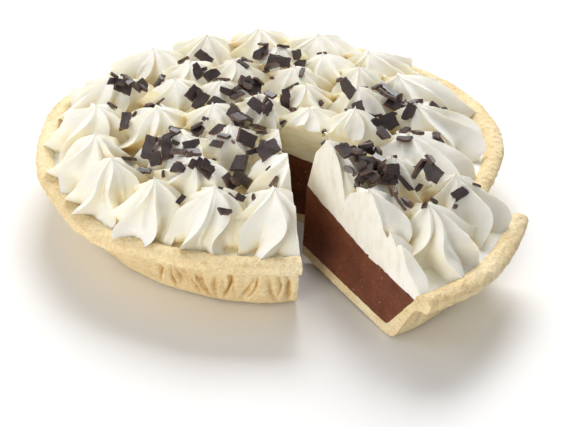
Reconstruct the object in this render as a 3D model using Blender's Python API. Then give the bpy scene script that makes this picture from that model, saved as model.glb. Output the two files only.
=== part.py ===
"""Chocolate cream pie with one slice drawn part way out.

A baked pastry crust holds a domed chocolate filling, a bed of whipped cream and piped cream
rosettes, with flakes of dark chocolate on top. The whole pie is made first. A knife then parts
every piece into the main pie and the slice, and the slice is turned, tipped up a little and
drawn out. Metres, +Z up, origin on the ground under the middle of the pie, front at -Y.
"""

import copy
import math
import random
from collections import namedtuple
from dataclasses import dataclass

import bmesh
import bpy
from mathutils import Matrix, Vector
from mathutils.bvhtree import BVHTree

GAP = 0.0003
SEGMENTS = 56

# Crust, as rings from the underside, up the outside, over the lip and down the inside.
# rim is the share of the lip's waviness that a ring takes, wall the share of the wall's dents.
Ring = namedtuple("Ring", "radius height rim wall")
CRUST_FOOT_RADIUS = 0.0840
CRUST_FLOOR = 0.0050
CRUST_RINGS = (
    Ring(CRUST_FOOT_RADIUS, 0.0000, 0.0, 0.0),
    Ring(0.0930, 0.0020, 0.0, 0.4),
    Ring(0.0985, 0.0090, 0.2, 1.0),
    Ring(0.1023, 0.0165, 0.4, 1.0),
    Ring(0.1065, 0.0240, 0.7, 0.8),
    Ring(0.1095, 0.0262, 0.9, 0.2),
    Ring(0.1135, 0.0276, 1.0, 0.0),
    Ring(0.1153, 0.0305, 1.0, 0.0),
    Ring(0.1145, 0.0338, 1.0, 0.0),
    Ring(0.1110, 0.0352, 1.0, 0.0),
    Ring(0.1075, 0.0343, 0.7, 0.0),
    Ring(0.1048, 0.0318, 0.3, 0.0),
    Ring(0.1030, 0.0285, 0.0, 0.0),
    Ring(0.0878, 0.0062, 0.0, 0.0),
    Ring(CRUST_FOOT_RADIUS, CRUST_FLOOR, 0.0, 0.0),
)

# The main pie's crust sagged outward at its foot, beside the left cut.
BULGE = 0.0032
BULGE_MIDDLE = math.radians(-92)
BULGE_WIDTH = math.radians(24)
BULGE_TOP = 0.0240

LIP_RINGS = CRUST_RINGS[8:12]
INNER_WALL = CRUST_RINGS[12:14]
LIP_OUTER_RADIUS = 0.1170
LOBE_REACH = 0.1145
CELL_SIDES = 18

# The rosettes stand on a coarser copy of the bed and the lip, raised enough to clear both.
SUPPORT_SEGMENTS = 32
SUPPORT_FLOOR = 0.0200
BED_RISE = 0.00045
LIP_RISE = 0.0008

# Chocolate filling, and the bed of cream on it.
FILLING_DOME = ((0.0990, 0.0298), (0.0670, 0.0312), (0.0200, 0.0378))
BED_TOP = ((0.1036, 0.0326), (0.0740, 0.0385), (0.0180, 0.0475))

# The knife's two cuts, from a point a little in front of the middle.
CUT_POINT = Vector((0.0035, -0.0192, 0.0))
LEFT_CUT = math.radians(-82.7)
GAP_ANGLE = math.radians(55.7)
SLICE_ANGLE = math.radians(52.3)
CUT_LENGTH = 0.30
CELL_TOP = 0.1
KNIFE_HEIGHTS = (-0.02, 0.12)
SMALLEST_PIECE = 4e-7

# How the slice lies now.
SLICE_POINT = Vector((0.0160, -0.0585, 0.0))
SLICE_TURN = math.radians(24.7)
SLICE_TILT = math.radians(3.5)

# The cream at the slice's point has crumbled back, more so towards the top.
TIP_FOOT = 0.0370
TIP_RISE = 0.0400
TIP_RETREAT = 0.0085
TRIMMER_WIDTH = 0.040
TRIMMER_DEPTH = 0.030

# Piped rosettes: a ring of large ones that was piped clockwise, with the two on the slice.
RING_CENTRE = Vector((-0.0050, -0.0030))
RING_START = math.radians(-84.3)
RING_STEP = math.radians(-21.3)
# How far out each one was piped, and how many degrees off even spacing.
RING_PLACES = ((0.0810, 0.0), (0.0825, 3.0), (0.0855, 6.0), (0.0850, 8.0), (0.0815, 13.0), (0.0775, 13.5),
               (0.0795, 11.0), (0.0818, 6.5), (0.0822, 5.5), (0.0840, 6.5), (0.0825, 6.0), (0.0790, 3.0),
               (0.0758, 1.5), (0.0765, 0.0), (0.0768, -2.0))
RING_PEAK = 0.0550
RING_BASE = 0.0300
LOBE_EDGE = 0.1110
DROP_RADIUS = 0.0215
MOST_RADIUS = 0.0285
SPARE_SHARE = 0.45
BACK_SHARE = 0.55
LEAST_LEAN = 0.0035
SLICE_RING = ((0.0337, -0.0733), (0.0567, -0.0578))
SLICE_RING_SEED = 40

# The rosettes inside the ring, each as its place and the height of its tip.
INNER_ROSETTES = (
    (-0.0450, 0.0120, 0.0600),
    (-0.0390, 0.0330, 0.0590),
    (-0.0170, 0.0330, 0.0600),
    (0.0050, 0.0500, 0.0590),
    (0.0130, 0.0230, 0.0610),
    (0.0280, 0.0390, 0.0600),
    (0.0450, 0.0270, 0.0590),
    (-0.0525, -0.0160, 0.0590),
    (-0.0260, -0.0190, 0.0620),
    (-0.0230, 0.0060, 0.0620),
    (-0.0175, -0.0385, 0.0610),
    (-0.0320, -0.0620, 0.0580),
    (-0.0400, -0.0400, 0.0580),
    (0.0180, 0.0020, 0.0620),
    (0.0440, 0.0010, 0.0610),
    (-0.0040, -0.0100, 0.0630),
    (0.0400, -0.0270, 0.0640),
    (0.0068, -0.0335, 0.0560),
    (0.0108, -0.0633, 0.0610),
    (0.0320, -0.0450, 0.0620),
    (0.0195, -0.0165, 0.0590),
)
# One rosette was pressed down in the pie, and its half on the slice still stands at full height.
SLICE_PEAKS = {35: 0.0690}
INNER_BASE = 0.0380
INNER_RADIUS = 0.0225
INNER_SEED = 60

RIDGES = 8
RING_LEVELS = (0.0, 0.25, 0.58, 0.85)
ENVELOPE_POWER = 2.6
VALLEY_DEPTH = 0.37
TWIST = 0.45
TUCK = 0.20
TUCK_LEVEL = 0.34
SWAY_PACE = 6.0
SWELL_PACE = 9.0

# Dark chocolate flakes: where they fell thickest, how far they spread and how many fell there.
Cluster = namedtuple("Cluster", "x y spread count")
FLAKE_CLUSTERS = (
    Cluster(-0.067, 0.012, 0.008, 6),
    Cluster(-0.036, -0.048, 0.011, 10),
    Cluster(-0.022, 0.008, 0.011, 6),
    Cluster(-0.006, -0.008, 0.010, 7),
    Cluster(-0.003, -0.040, 0.010, 6),
    Cluster(-0.012, -0.068, 0.010, 6),
    Cluster(0.004, 0.040, 0.014, 7),
    Cluster(0.054, -0.004, 0.012, 9),
    Cluster(0.038, 0.008, 0.014, 5),
    Cluster(0.060, -0.020, 0.007, 4),
    Cluster(0.020, -0.034, 0.008, 4),
    Cluster(0.029, -0.052, 0.009, 6),
    Cluster(0.045, -0.060, 0.009, 5),
)
FLAKE_LENGTHS = (0.0045, 0.0100)
FLAKE_THICKNESS = 0.0015
FLAKE_SINK = 0.0009
FLAKE_SEED = 11
SNAPPED_SHARE = 0.55
MOST_FLAKES = 2
FLAKE_ATTEMPTS = 6
FLAKE_SHIFT = 0.12
FLAKE_SHRINK = 0.07

# The largest flakes: place, length, width, heading and how steeply each stands, in degrees.
Plate = namedtuple("Plate", "x y length width heading tilt")
LARGE_FLAKES = (
    Plate(-0.010, 0.011, 0.0150, 0.0110, 10, 35),
    Plate(0.001, -0.057, 0.0120, 0.0115, 2, 50),
    Plate(0.038, -0.001, 0.0072, 0.0140, 10, 65),
    Plate(0.008, -0.005, 0.0060, 0.0100, 5, 55),
    Plate(0.041, -0.051, 0.0042, 0.0130, -15, 60),
    Plate(-0.072, 0.031, 0.0120, 0.0060, -44, 10),
    Plate(-0.073, 0.017, 0.0120, 0.0085, 8, 20),
    Plate(-0.065, 0.035, 0.0080, 0.0080, -31, 15),
    Plate(-0.067, 0.020, 0.0080, 0.0040, 8, 10),
    Plate(-0.054, -0.002, 0.0110, 0.0065, -38, 15),
    Plate(-0.044, 0.046, 0.0080, 0.0055, 8, 5),
    Plate(-0.034, 0.060, 0.0120, 0.0070, -44, 10),
    Plate(-0.036, 0.026, 0.0090, 0.0060, -54, 30),
    Plate(-0.029, 0.025, 0.0110, 0.0070, 54, 20),
    Plate(-0.020, 0.001, 0.0100, 0.0040, -8, 5),
    Plate(-0.037, 0.005, 0.0100, 0.0060, 63, 30),
    Plate(-0.033, -0.001, 0.0100, 0.0065, 49, 20),
    Plate(-0.025, -0.005, 0.0090, 0.0070, -38, 15),
    Plate(-0.005, -0.016, 0.0100, 0.0065, -54, 10),
    Plate(-0.014, -0.021, 0.0060, 0.0080, -16, 20),
    Plate(-0.001, -0.018, 0.0080, 0.0080, 84, 30),
    Plate(-0.023, -0.036, 0.0090, 0.0070, 38, 10),
    Plate(-0.010, -0.043, 0.0125, 0.0085, -5, 20),
    Plate(-0.002, -0.043, 0.0120, 0.0060, -63, 10),
    Plate(-0.032, -0.033, 0.0090, 0.0070, -63, 20),
    Plate(-0.035, -0.046, 0.0110, 0.0055, 24, 10),
    Plate(-0.047, -0.040, 0.0140, 0.0042, 20, 5),
    Plate(-0.046, -0.049, 0.0120, 0.0060, 78, 40),
    Plate(-0.055, -0.042, 0.0140, 0.0070, 54, 20),
    Plate(-0.064, -0.044, 0.0080, 0.0080, 0, 10),
    Plate(-0.068, -0.018, 0.0120, 0.0055, 71, 30),
    Plate(-0.051, -0.052, 0.0075, 0.0080, 0, 20),
    Plate(-0.028, -0.067, 0.0110, 0.0062, -31, 15),
    Plate(-0.017, -0.067, 0.0100, 0.0055, -38, 10),
    Plate(-0.011, -0.061, 0.0130, 0.0070, -59, 15),
    Plate(-0.012, -0.054, 0.0090, 0.0095, -31, 20),
    Plate(-0.004, 0.049, 0.0130, 0.0090, -8, 10),
    Plate(0.005, 0.040, 0.0130, 0.0070, -24, 10),
    Plate(0.014, 0.048, 0.0075, 0.0070, 44, 20),
    Plate(0.011, 0.010, 0.0100, 0.0042, -8, 5),
    Plate(0.061, 0.013, 0.0215, 0.0042, -52, 10),
    Plate(0.057, 0.009, 0.0180, 0.0038, -50, 15),
    Plate(0.061, 0.001, 0.0095, 0.0070, -24, 15),
    Plate(0.068, -0.010, 0.0110, 0.0070, 49, 15),
    Plate(0.058, -0.012, 0.0110, 0.0100, 31, 15),
    Plate(0.053, -0.034, 0.0085, 0.0075, -44, 15),
    Plate(0.024, -0.042, 0.0080, 0.0095, -41, 10),
    Plate(0.019, -0.050, 0.0110, 0.0095, -79, 10),
    Plate(0.028, -0.052, 0.0085, 0.0060, 59, 30),
    Plate(0.032, -0.056, 0.0120, 0.0030, -80, 10),
    Plate(0.050, -0.051, 0.0110, 0.0045, -31, 15),
    Plate(0.045, -0.057, 0.0105, 0.0085, -79, 15),
    Plate(0.020, -0.064, 0.0100, 0.0055, 39, 20),
    Plate(0.020, -0.072, 0.0130, 0.0032, -74, 5),
)


@dataclass
class Rosette:
    """One piped drop of cream: its tip, its base and how its ridges run."""

    x: float
    y: float
    peak: float
    base: float
    radius: float
    lean: float
    rng: random.Random

    def __post_init__(self):
        draw = self.rng.uniform
        self.phase = draw(0, math.tau)
        self.twist = TWIST * draw(0.6, 1.4)
        self.power = ENVELOPE_POWER * draw(0.85, 1.2)
        self.reach = [draw(0.93, 1.06) for _ in range(RIDGES)]
        self.radius *= draw(0.96, 1.05)
        self.outward = math.atan2(self.y, self.x)
        self.sway = [(draw(0.08, 0.26), draw(0, math.tau)) for _ in range(RIDGES)]
        self.swell = [(draw(0.02, 0.09), draw(0, math.tau)) for _ in range(RIDGES)]

    def ridge(self, number, level):
        """How far a ridge reaches at a level, and how far it strays to one side there."""
        number %= RIDGES
        size, start = self.swell[number]
        reach = self.reach[number] * (1 + size * math.sin(start + SWELL_PACE * level))
        size, start = self.sway[number]
        return reach, size * math.sin(start + SWAY_PACE * level)

    def point(self, step, level):
        """A point at a half step between ridges, from the base at level 0 to the tip at level 1."""
        here, there = self.ridge(step // 2, level), self.ridge((step + 1) // 2, level)
        reach, stray = [0.5 * (one + other) for one, other in zip(here, there)]
        if step % 2:
            reach *= 1 - VALLEY_DEPTH
        under = min(level / TUCK_LEVEL, 1.0)
        reach *= 1 - TUCK + TUCK * math.sqrt(1 - (1 - under) ** 2)
        angle = self.phase + math.pi * step / RIDGES + self.twist * level + stray
        spread = self.radius * (1 - level**self.power) * reach
        shift = self.lean * (1 - level)
        x = self.x + spread * math.cos(angle) + shift * math.cos(self.outward)
        y = self.y + spread * math.sin(angle) + shift * math.sin(self.outward)
        return Vector((x, y, self.base + level * (self.peak - self.base)))

    def mesh(self):
        """The closed drop, with a row of faces on each side of every ridge."""
        around = 2 * RIDGES
        points = [self.point(k, level) for level in RING_LEVELS for k in range(around)]
        faces = [tuple(reversed(range(around)))]
        for row in range(len(RING_LEVELS) - 1):
            faces += ring_faces(row * around, (row + 1) * around, around)
        last = (len(RING_LEVELS) - 1) * around
        tip = len(points)
        points.append(Vector((self.x, self.y, self.peak)))
        faces += [(last + k, last + (k + 1) % around, tip) for k in range(around)]
        return points, faces


def clear_scene():
    for thing in list(bpy.data.objects):
        bpy.data.objects.remove(thing, do_unlink=True)


def make_material(name, colour, roughness):
    """A plain surface of one colour, given as a linear red, green and blue."""
    material = bpy.data.materials.new(name)
    material.use_nodes = True
    surface = material.node_tree.nodes["Principled BSDF"]
    surface.inputs["Base Color"].default_value = (*colour, 1.0)
    surface.inputs["Roughness"].default_value = roughness
    surface.inputs["Metallic"].default_value = 0.0
    return material


def ring_faces(lower, upper, around):
    """The band of triangles between two rings of points that run anticlockwise seen from above."""
    faces = []
    for k in range(around):
        following = (k + 1) % around
        faces.append((lower + k, lower + following, upper + following))
        faces.append((lower + k, upper + following, upper + k))
    return faces


def make_object(name, points, faces, material=None):
    mesh = bpy.data.meshes.new(name)
    mesh.from_pydata([tuple(point) for point in points], [], faces)
    thing = bpy.data.objects.new(name, mesh)
    bpy.context.scene.collection.objects.link(thing)
    if material:
        mesh.materials.append(material)
    return thing


def rim_wave(azimuth):
    """How far the hand-made lip strays outward."""
    return 0.0009 * math.sin(5 * azimuth + 0.6) + 0.0006 * math.sin(11 * azimuth + 2.1)


def rim_lift(azimuth):
    """How far the lip rises and falls."""
    return 0.0007 * math.sin(4 * azimuth + 1.9) + 0.0004 * math.sin(9 * azimuth)


def wall_dent(azimuth):
    """How deep the wall is pressed in between the lip and the foot."""
    return 0.0008 * (1 + math.sin(19 * azimuth + 0.4) * math.sin(6 * azimuth + 1.0))


def foot_bulge(azimuth, height):
    """How far the main pie's crust sagged outward at a height."""
    away = (azimuth - BULGE_MIDDLE + math.pi) % math.tau - math.pi
    return BULGE * math.exp(-((away / BULGE_WIDTH) ** 2)) * max(0.0, 1 - height / BULGE_TOP)


def turned(name, rings, segments=SEGMENTS, material=None, sag=0.0):
    """A solid turned round the pie's middle, from its lowest ring out and over to its top ring."""
    points = []
    for ring in rings:
        for k in range(segments):
            azimuth = math.tau * k / segments
            radius = ring.radius + ring.rim * rim_wave(azimuth) - ring.wall * wall_dent(azimuth)
            if ring.wall > 0:
                radius += sag * foot_bulge(azimuth, ring.height)
            height = ring.height + ring.rim * rim_lift(azimuth)
            points.append((radius * math.cos(azimuth), radius * math.sin(azimuth), height))
    faces = [tuple(reversed(range(segments)))]
    for row in range(len(rings) - 1):
        faces += ring_faces(row * segments, (row + 1) * segments, segments)
    faces.append(tuple(range((len(rings) - 1) * segments, len(rings) * segments)))
    return make_object(name, points, faces, material)


def plain_rings(outline, rise=0.0):
    return [Ring(radius, height + rise, 0.0, 0.0) for radius, height in outline]


def prism(name, outline, bottom, top):
    """An upright block over an anticlockwise outline."""
    count = len(outline)
    points = [(x, y, bottom) for x, y in outline] + [(x, y, top) for x, y in outline]
    faces = [tuple(reversed(range(count))), tuple(range(count, 2 * count))]
    faces += ring_faces(0, count, count)
    return make_object(name, points, faces)


def bake(thing):
    """Keeps what the object's modifiers make, and drops the modifiers."""
    graph = bpy.context.evaluated_depsgraph_get()
    result = bpy.data.meshes.new_from_object(thing.evaluated_get(graph))
    thing.modifiers.clear()
    old = thing.data
    thing.data = result
    bpy.data.meshes.remove(old)


def carve(thing, operation, tool, solver="EXACT"):
    """Cuts the object with another one, which is kept."""
    modifier = thing.modifiers.new(operation.lower(), "BOOLEAN")
    modifier.operation = operation
    modifier.solver = solver
    modifier.object = tool
    bake(thing)


def fuse(thing, others):
    """Joins the other objects to this one, and removes them."""
    group = bpy.data.collections.new(thing.name + "_fused")
    bpy.context.scene.collection.children.link(group)
    for other in others:
        bpy.context.scene.collection.objects.unlink(other)
        group.objects.link(other)
    modifier = thing.modifiers.new("union", "BOOLEAN")
    modifier.operation = "UNION"
    modifier.operand_type = "COLLECTION"
    modifier.collection = group
    bake(thing)
    for other in others:
        bpy.data.objects.remove(other, do_unlink=True)
    bpy.data.collections.remove(group)


def copy_of(thing, name):
    twin = thing.copy()
    twin.data = thing.data.copy()
    twin.name = name
    bpy.context.scene.collection.objects.link(twin)
    return twin


def islands(mesh):
    """The faces of each separate body in a bmesh."""
    left = set(mesh.faces)
    found = []
    while left:
        body = set()
        front = [left.pop()]
        while front:
            face = front.pop()
            body.add(face)
            for vertex in face.verts:
                for neighbour in vertex.link_faces:
                    if neighbour in left:
                        left.remove(neighbour)
                        front.append(neighbour)
        found.append(body)
    return found


def keep_main_body(thing):
    """Drops every scrap but the largest body, and returns that body's volume."""
    mesh = bmesh.new()
    mesh.from_mesh(thing.data)
    bodies = sorted(islands(mesh), key=lambda body: sum(face.calc_area() for face in body))
    scraps = [vertex for body in bodies[:-1] for face in body for vertex in face.verts]
    bmesh.ops.delete(mesh, geom=list(set(scraps)), context="VERTS")
    bmesh.ops.triangulate(mesh, faces=mesh.faces)
    volume = mesh.calc_volume()
    mesh.to_mesh(thing.data)
    mesh.free()
    return volume


def cut_outline(angle):
    """The plan of the knife's wedge, opening from the left cut by an angle."""
    right = LEFT_CUT + angle
    corners = [CUT_POINT]
    for azimuth in (LEFT_CUT, right):
        corners.append(CUT_POINT + CUT_LENGTH * Vector((math.cos(azimuth), math.sin(azimuth), 0.0)))
    return [(corner.x, corner.y) for corner in corners]


def slice_pose():
    """Tips the slice up about its foot, turns it about its point and draws it out."""
    middle = LEFT_CUT + SLICE_ANGLE / 2
    outward = Vector((math.cos(middle), math.sin(middle), 0.0))
    foot = CRUST_FOOT_RADIUS * outward
    hinge = Vector((-outward.y, outward.x, 0.0))
    tip_up = Matrix.Translation(foot) @ Matrix.Rotation(SLICE_TILT, 4, hinge) @ Matrix.Translation(-foot)
    turn = Matrix.Translation(SLICE_POINT) @ Matrix.Rotation(SLICE_TURN, 4, "Z")
    return turn @ Matrix.Translation(-CUT_POINT) @ tip_up


def tip_trimmer():
    """What crumbled off the cream at the slice's point: a block behind a plane that leans outward."""
    middle = LEFT_CUT + SLICE_ANGLE / 2
    outward = Vector((math.cos(middle), math.sin(middle), 0.0))
    across = 0.5 * TRIMMER_WIDTH * Vector((-outward.y, outward.x, 0.0))
    foot = CUT_POINT + Vector((0.0, 0.0, TIP_FOOT))
    head = foot + Vector((0.0, 0.0, TIP_RISE)) + TIP_RETREAT * outward
    edges = [foot, head, head - TRIMMER_DEPTH * outward, foot - TRIMMER_DEPTH * outward]
    points = [edge - across for edge in edges] + [edge + across for edge in edges]
    faces = [(3, 2, 1, 0), (4, 5, 6, 7)] + ring_faces(0, 4, 4)
    return make_object("trimmer", points, faces)


def clip(outline, point, normal):
    """The part of a convex outline on the near side of a line."""
    kept = []
    for here, there in zip(outline, outline[1:] + outline[:1]):
        from_line = (here - point).dot(normal)
        to_line = (there - point).dot(normal)
        if from_line <= 0:
            kept.append(here)
        if from_line * to_line < 0:
            kept.append(here + (there - here) * (from_line / (from_line - to_line)))
    return kept


def cell(rosette, rosettes, margin):
    """The convex plan of the space that a rosette has to itself among its neighbours."""
    turns = [math.tau * k / CELL_SIDES for k in range(CELL_SIDES)]
    outline = [LOBE_REACH * Vector((math.cos(turn), math.sin(turn))) for turn in turns]
    here = Vector((rosette.x, rosette.y))
    for other in rosettes:
        away = Vector((other.x, other.y)) - here
        if other is rosette or away.length > 3 * DROP_RADIUS:
            continue
        share = rosette.radius / (rosette.radius + other.radius)
        border = here + away * share - away.normalized() * margin
        outline = clip(outline, border, away.normalized())
    return outline


def inside(outline, point, margin):
    """Whether a point is in an anticlockwise convex outline, clear of its sides by a margin."""
    for here, there in zip(outline, outline[1:] + outline[:1]):
        side = (there - here).normalized()
        if side.cross(point - here) < margin:
            return False
    return True


def clear_of_cuts(points):
    """Whether the points all lie on one side of both cuts."""
    outlines = [[Vector(corner) for corner in cut_outline(angle)] for angle in (GAP_ANGLE, SLICE_ANGLE)]
    in_slice = all(inside(outlines[1], point, 2 * GAP) for point in points)
    gap = outlines[0]
    left_side = all(cross_side(gap[0], gap[1], point) < -2 * GAP for point in points)
    right_side = all(cross_side(gap[0], gap[2], point) > 2 * GAP for point in points)
    return in_slice or left_side or right_side


def cross_side(start, end, point):
    """How far a point lies to the left of a line."""
    return (end - start).normalized().cross(point - start)


def ring_rosette(x, y, rng):
    """A rosette beside the rim, whose lobes lean out as far as the lip."""
    distance = math.hypot(x, y)
    room = LOBE_EDGE - distance
    share = SPARE_SHARE + BACK_SHARE * max(0, y / distance)
    radius = min(MOST_RADIUS, DROP_RADIUS + share * max(0, room - DROP_RADIUS))
    lean = max(LEAST_LEAN, room - radius)
    return Rosette(x, y, RING_PEAK, RING_BASE, radius, lean, rng)


def make_rosettes():
    rosettes = []
    for k, (distance, stray) in enumerate(RING_PLACES):
        azimuth = RING_START + RING_STEP * k + math.radians(stray)
        x = RING_CENTRE.x + distance * math.cos(azimuth)
        y = RING_CENTRE.y + distance * math.sin(azimuth)
        rosettes.append(ring_rosette(x, y, random.Random(k)))
    for k, (x, y) in enumerate(SLICE_RING):
        rosettes.append(ring_rosette(x, y, random.Random(SLICE_RING_SEED + k)))
    for k, (x, y, peak) in enumerate(INNER_ROSETTES):
        rosettes.append(Rosette(x, y, peak, INNER_BASE, INNER_RADIUS, 0.0, random.Random(INNER_SEED + k)))
    return rosettes


def flake_outline(rng, length, width):
    """A broken sliver: a rough four-sided piece, often with one corner snapped off."""
    corners = []
    for along, across in ((-1, -1), (1, -1), (1, 1), (-1, 1)):
        x = 0.5 * length * along * rng.uniform(0.7, 1.0)
        y = 0.5 * width * across * rng.uniform(0.6, 1.0)
        corners.append(Vector((x, y)))
    if rng.random() < SNAPPED_SHARE:
        snapped = rng.randrange(4)
        corner = corners[snapped]
        before = corner.lerp(corners[snapped - 1], rng.uniform(0.25, 0.5))
        after = corner.lerp(corners[(snapped + 1) % 4], rng.uniform(0.25, 0.5))
        corners[snapped : snapped + 1] = [before, after]
    return corners


def fallen_flakes():
    """Every flake as its place, outline, heading and the tilt that it landed with."""
    rng = random.Random(FLAKE_SEED)
    flakes = []
    for plate in LARGE_FLAKES:
        outline = flake_outline(rng, plate.length, plate.width)
        flakes.append((plate.x, plate.y, outline, math.radians(plate.heading), math.radians(plate.tilt)))
    for cluster in FLAKE_CLUSTERS:
        for _ in range(cluster.count):
            x = rng.gauss(cluster.x, cluster.spread)
            y = rng.gauss(cluster.y, cluster.spread)
            length = rng.uniform(*FLAKE_LENGTHS)
            width = length * rng.uniform(0.35, 0.8)
            outline = flake_outline(rng, length, width)
            heading = rng.uniform(0, math.tau)
            tilt = rng.uniform(0, 0.6)
            flakes.append((x, y, outline, heading, tilt))
    return flakes


def land_flake(surface, x, y, outline, heading, tilt):
    """The corners of a flake where it lies on the cream, lower face first."""
    hit, normal, _, _ = surface.ray_cast(Vector((x, y, 0.2)), Vector((0, 0, -1)))
    if hit is None:
        return None
    along = Vector((math.cos(heading), math.sin(heading), 0))
    up = (normal + Vector((0, 0, 1))).normalized()
    across = up.cross(along).normalized()
    along = across.cross(up)
    up = Matrix.Rotation(tilt, 3, along) @ up
    across = up.cross(along)
    middle = hit + up * (0.5 * FLAKE_THICKNESS - FLAKE_SINK)
    corners = []
    for side in (-0.5, 0.5):
        for corner in outline:
            corners.append(middle + along * corner.x + across * corner.y + up * side * FLAKE_THICKNESS)
    return corners


def place_flakes(rosettes, surface):
    """Gives each rosette the flakes that fit wholly on it, moved inward or made smaller if need be."""
    owned = [[] for _ in rosettes]
    cells = [cell(rosette, rosettes, GAP) for rosette in rosettes]
    for x, y, outline, heading, tilt in fallen_flakes():
        place = Vector((x, y))
        owners = [k for k, plan in enumerate(cells) if inside(plan, place, 0.0)]
        if not owners or len(owned[owners[0]]) == MOST_FLAKES:
            continue
        owner = owners[0]
        home = Vector((rosettes[owner].x, rosettes[owner].y))
        for attempt in range(FLAKE_ATTEMPTS):
            spot = place.lerp(home, FLAKE_SHIFT * attempt)
            shape = [corner * (1 - FLAKE_SHRINK * attempt) for corner in outline]
            corners = land_flake(surface, spot.x, spot.y, shape, heading, tilt)
            if corners is None:
                break
            plan = [corner.xy for corner in corners]
            if all(inside(cells[owner], corner, GAP) for corner in plan) and clear_of_cuts(plan):
                owned[owner].append(corners)
                break
    return owned


def flake_object(name, corners):
    count = len(corners) // 2
    faces = [tuple(reversed(range(count))), tuple(range(count, 2 * count))]
    faces += ring_faces(0, count, count)
    return make_object(name, corners, faces)


def crust(name, sag, material):
    return turned(name, CRUST_RINGS, material=material, sag=sag)


def filling(material):
    """The chocolate, which fills the crust up to its dome."""
    walls = [Ring(ring.radius - GAP, ring.height, 0.0, 0.0) for ring in reversed(INNER_WALL)]
    floor = [Ring(CRUST_FOOT_RADIUS - GAP, CRUST_FLOOR + GAP, 0.0, 0.0)]
    return turned("pie_chocolate", floor + walls + plain_rings(FILLING_DOME), material=material)


def bed(material):
    """The cream spread on the chocolate, up to the crust's lip."""
    under = plain_rings(reversed(FILLING_DOME), GAP)
    brink = [Ring(INNER_WALL[0].radius - GAP, INNER_WALL[0].height + 2 * GAP, 0.0, 0.0)]
    return turned("pie_cream", under + brink + plain_rings(BED_TOP), material=material)


def support():
    """All that the rosettes stand on, a little raised: the bed of cream and the lip round it."""
    lip = [Ring(ring.radius, ring.height + LIP_RISE, ring.rim, 0.0) for ring in LIP_RINGS]
    rings = [Ring(radius, SUPPORT_FLOOR, 0.0, 0.0) for radius in (BED_TOP[-1][0], LIP_OUTER_RADIUS)]
    rings += [Ring(LIP_OUTER_RADIUS, LIP_RINGS[0].height - 0.001, 0.0, 0.0)]
    return turned("support", rings + lip + plain_rings(BED_TOP, BED_RISE), SUPPORT_SEGMENTS)


def part_by_knife(whole, knife, slicer, name, portion=None):
    """Cuts the gap out of a piece of the whole pie, and returns what goes with the slice, if any."""
    portion = portion or copy_of(whole, name)
    carve(whole, "DIFFERENCE", knife)
    carve(portion, "INTERSECT", slicer)
    for thing in (whole, portion):
        if not thing.data.polygons or keep_main_body(thing) < SMALLEST_PIECE:
            bpy.data.objects.remove(thing, do_unlink=True)
            if thing is portion:
                return None
    return portion


def as_on_slice(number, rosette):
    """The rosette with the height that it has on the slice."""
    standing = copy.copy(rosette)
    standing.peak = SLICE_PEAKS.get(number, rosette.peak)
    return standing


def piped_drop(name, rosette, flakes, outline, base, material):
    """A rosette with its flakes, cut to its own cell and fitted to the bed and the lip."""
    drop = make_object(name, *rosette.mesh(), material)
    if flakes:
        fuse(drop, [flake_object("flake", corners) for corners in flakes])
    around = prism("cell", [tuple(corner) for corner in outline], 0.0, CELL_TOP)
    carve(drop, "INTERSECT", around)
    bpy.data.objects.remove(around, do_unlink=True)
    carve(drop, "DIFFERENCE", base)
    return drop


def build():
    clear_scene()
    pastry = make_material("pastry", (0.66, 0.43, 0.20), 0.75)
    chocolate = make_material("chocolate_filling", (0.105, 0.033, 0.016), 0.5)
    cream = make_material("whipped_cream", (0.82, 0.77, 0.62), 0.5)

    knife = prism("knife", cut_outline(GAP_ANGLE), *KNIFE_HEIGHTS)
    slicer = prism("slicer", cut_outline(SLICE_ANGLE), *KNIFE_HEIGHTS)
    trimmer = tip_trimmer()
    crusts = crust("pie_crust", 1.0, pastry), crust("slice_crust", 0.0, pastry)
    on_slice = [part_by_knife(crusts[0], knife, slicer, "slice_crust", crusts[1])]
    on_slice.append(part_by_knife(filling(chocolate), knife, slicer, "slice_chocolate"))
    carve(slicer, "DIFFERENCE", trimmer)
    on_slice.append(part_by_knife(bed(cream), knife, slicer, "slice_cream"))

    rosettes = make_rosettes()
    standing = [as_on_slice(number, rosette) for number, rosette in enumerate(rosettes, 1)]
    base = support()
    points = []
    faces = []
    for rosette in standing:
        some, more = rosette.mesh()
        faces += [tuple(len(points) + corner for corner in face) for face in more]
        points += some
    flakes = place_flakes(rosettes, BVHTree.FromPolygons(points, faces))
    for number, rosette in enumerate(rosettes, 1):
        name = f"rosette_{number:02d}"
        outline = cell(rosette, rosettes, 0.5 * GAP)
        portion = None
        if number in SLICE_PEAKS:
            portion = piped_drop("slice_" + name, standing[number - 1], flakes[number - 1], outline, base, cream)
            flakes[number - 1] = []
        drop = piped_drop(name, rosette, flakes[number - 1], outline, base, cream)
        portion = part_by_knife(drop, knife, slicer, "slice_" + name, portion)
        if portion:
            on_slice.append(portion)

    pose = bpy.data.objects.new("slice_pose", None)
    bpy.context.scene.collection.objects.link(pose)
    pose.matrix_world = slice_pose()
    for portion in on_slice:
        portion.parent = pose
    for tool in (knife, slicer, trimmer, base):
        bpy.data.objects.remove(tool, do_unlink=True)


build()
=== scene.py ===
"""Looks of the chocolate cream pie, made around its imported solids. Metres, +Z up, front at -Y."""

import copy
import math
import random
from collections import namedtuple
from dataclasses import dataclass

import bpy
import numpy as np
from mathutils import Matrix, Vector, noise
from mathutils.bvhtree import BVHTree


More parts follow.
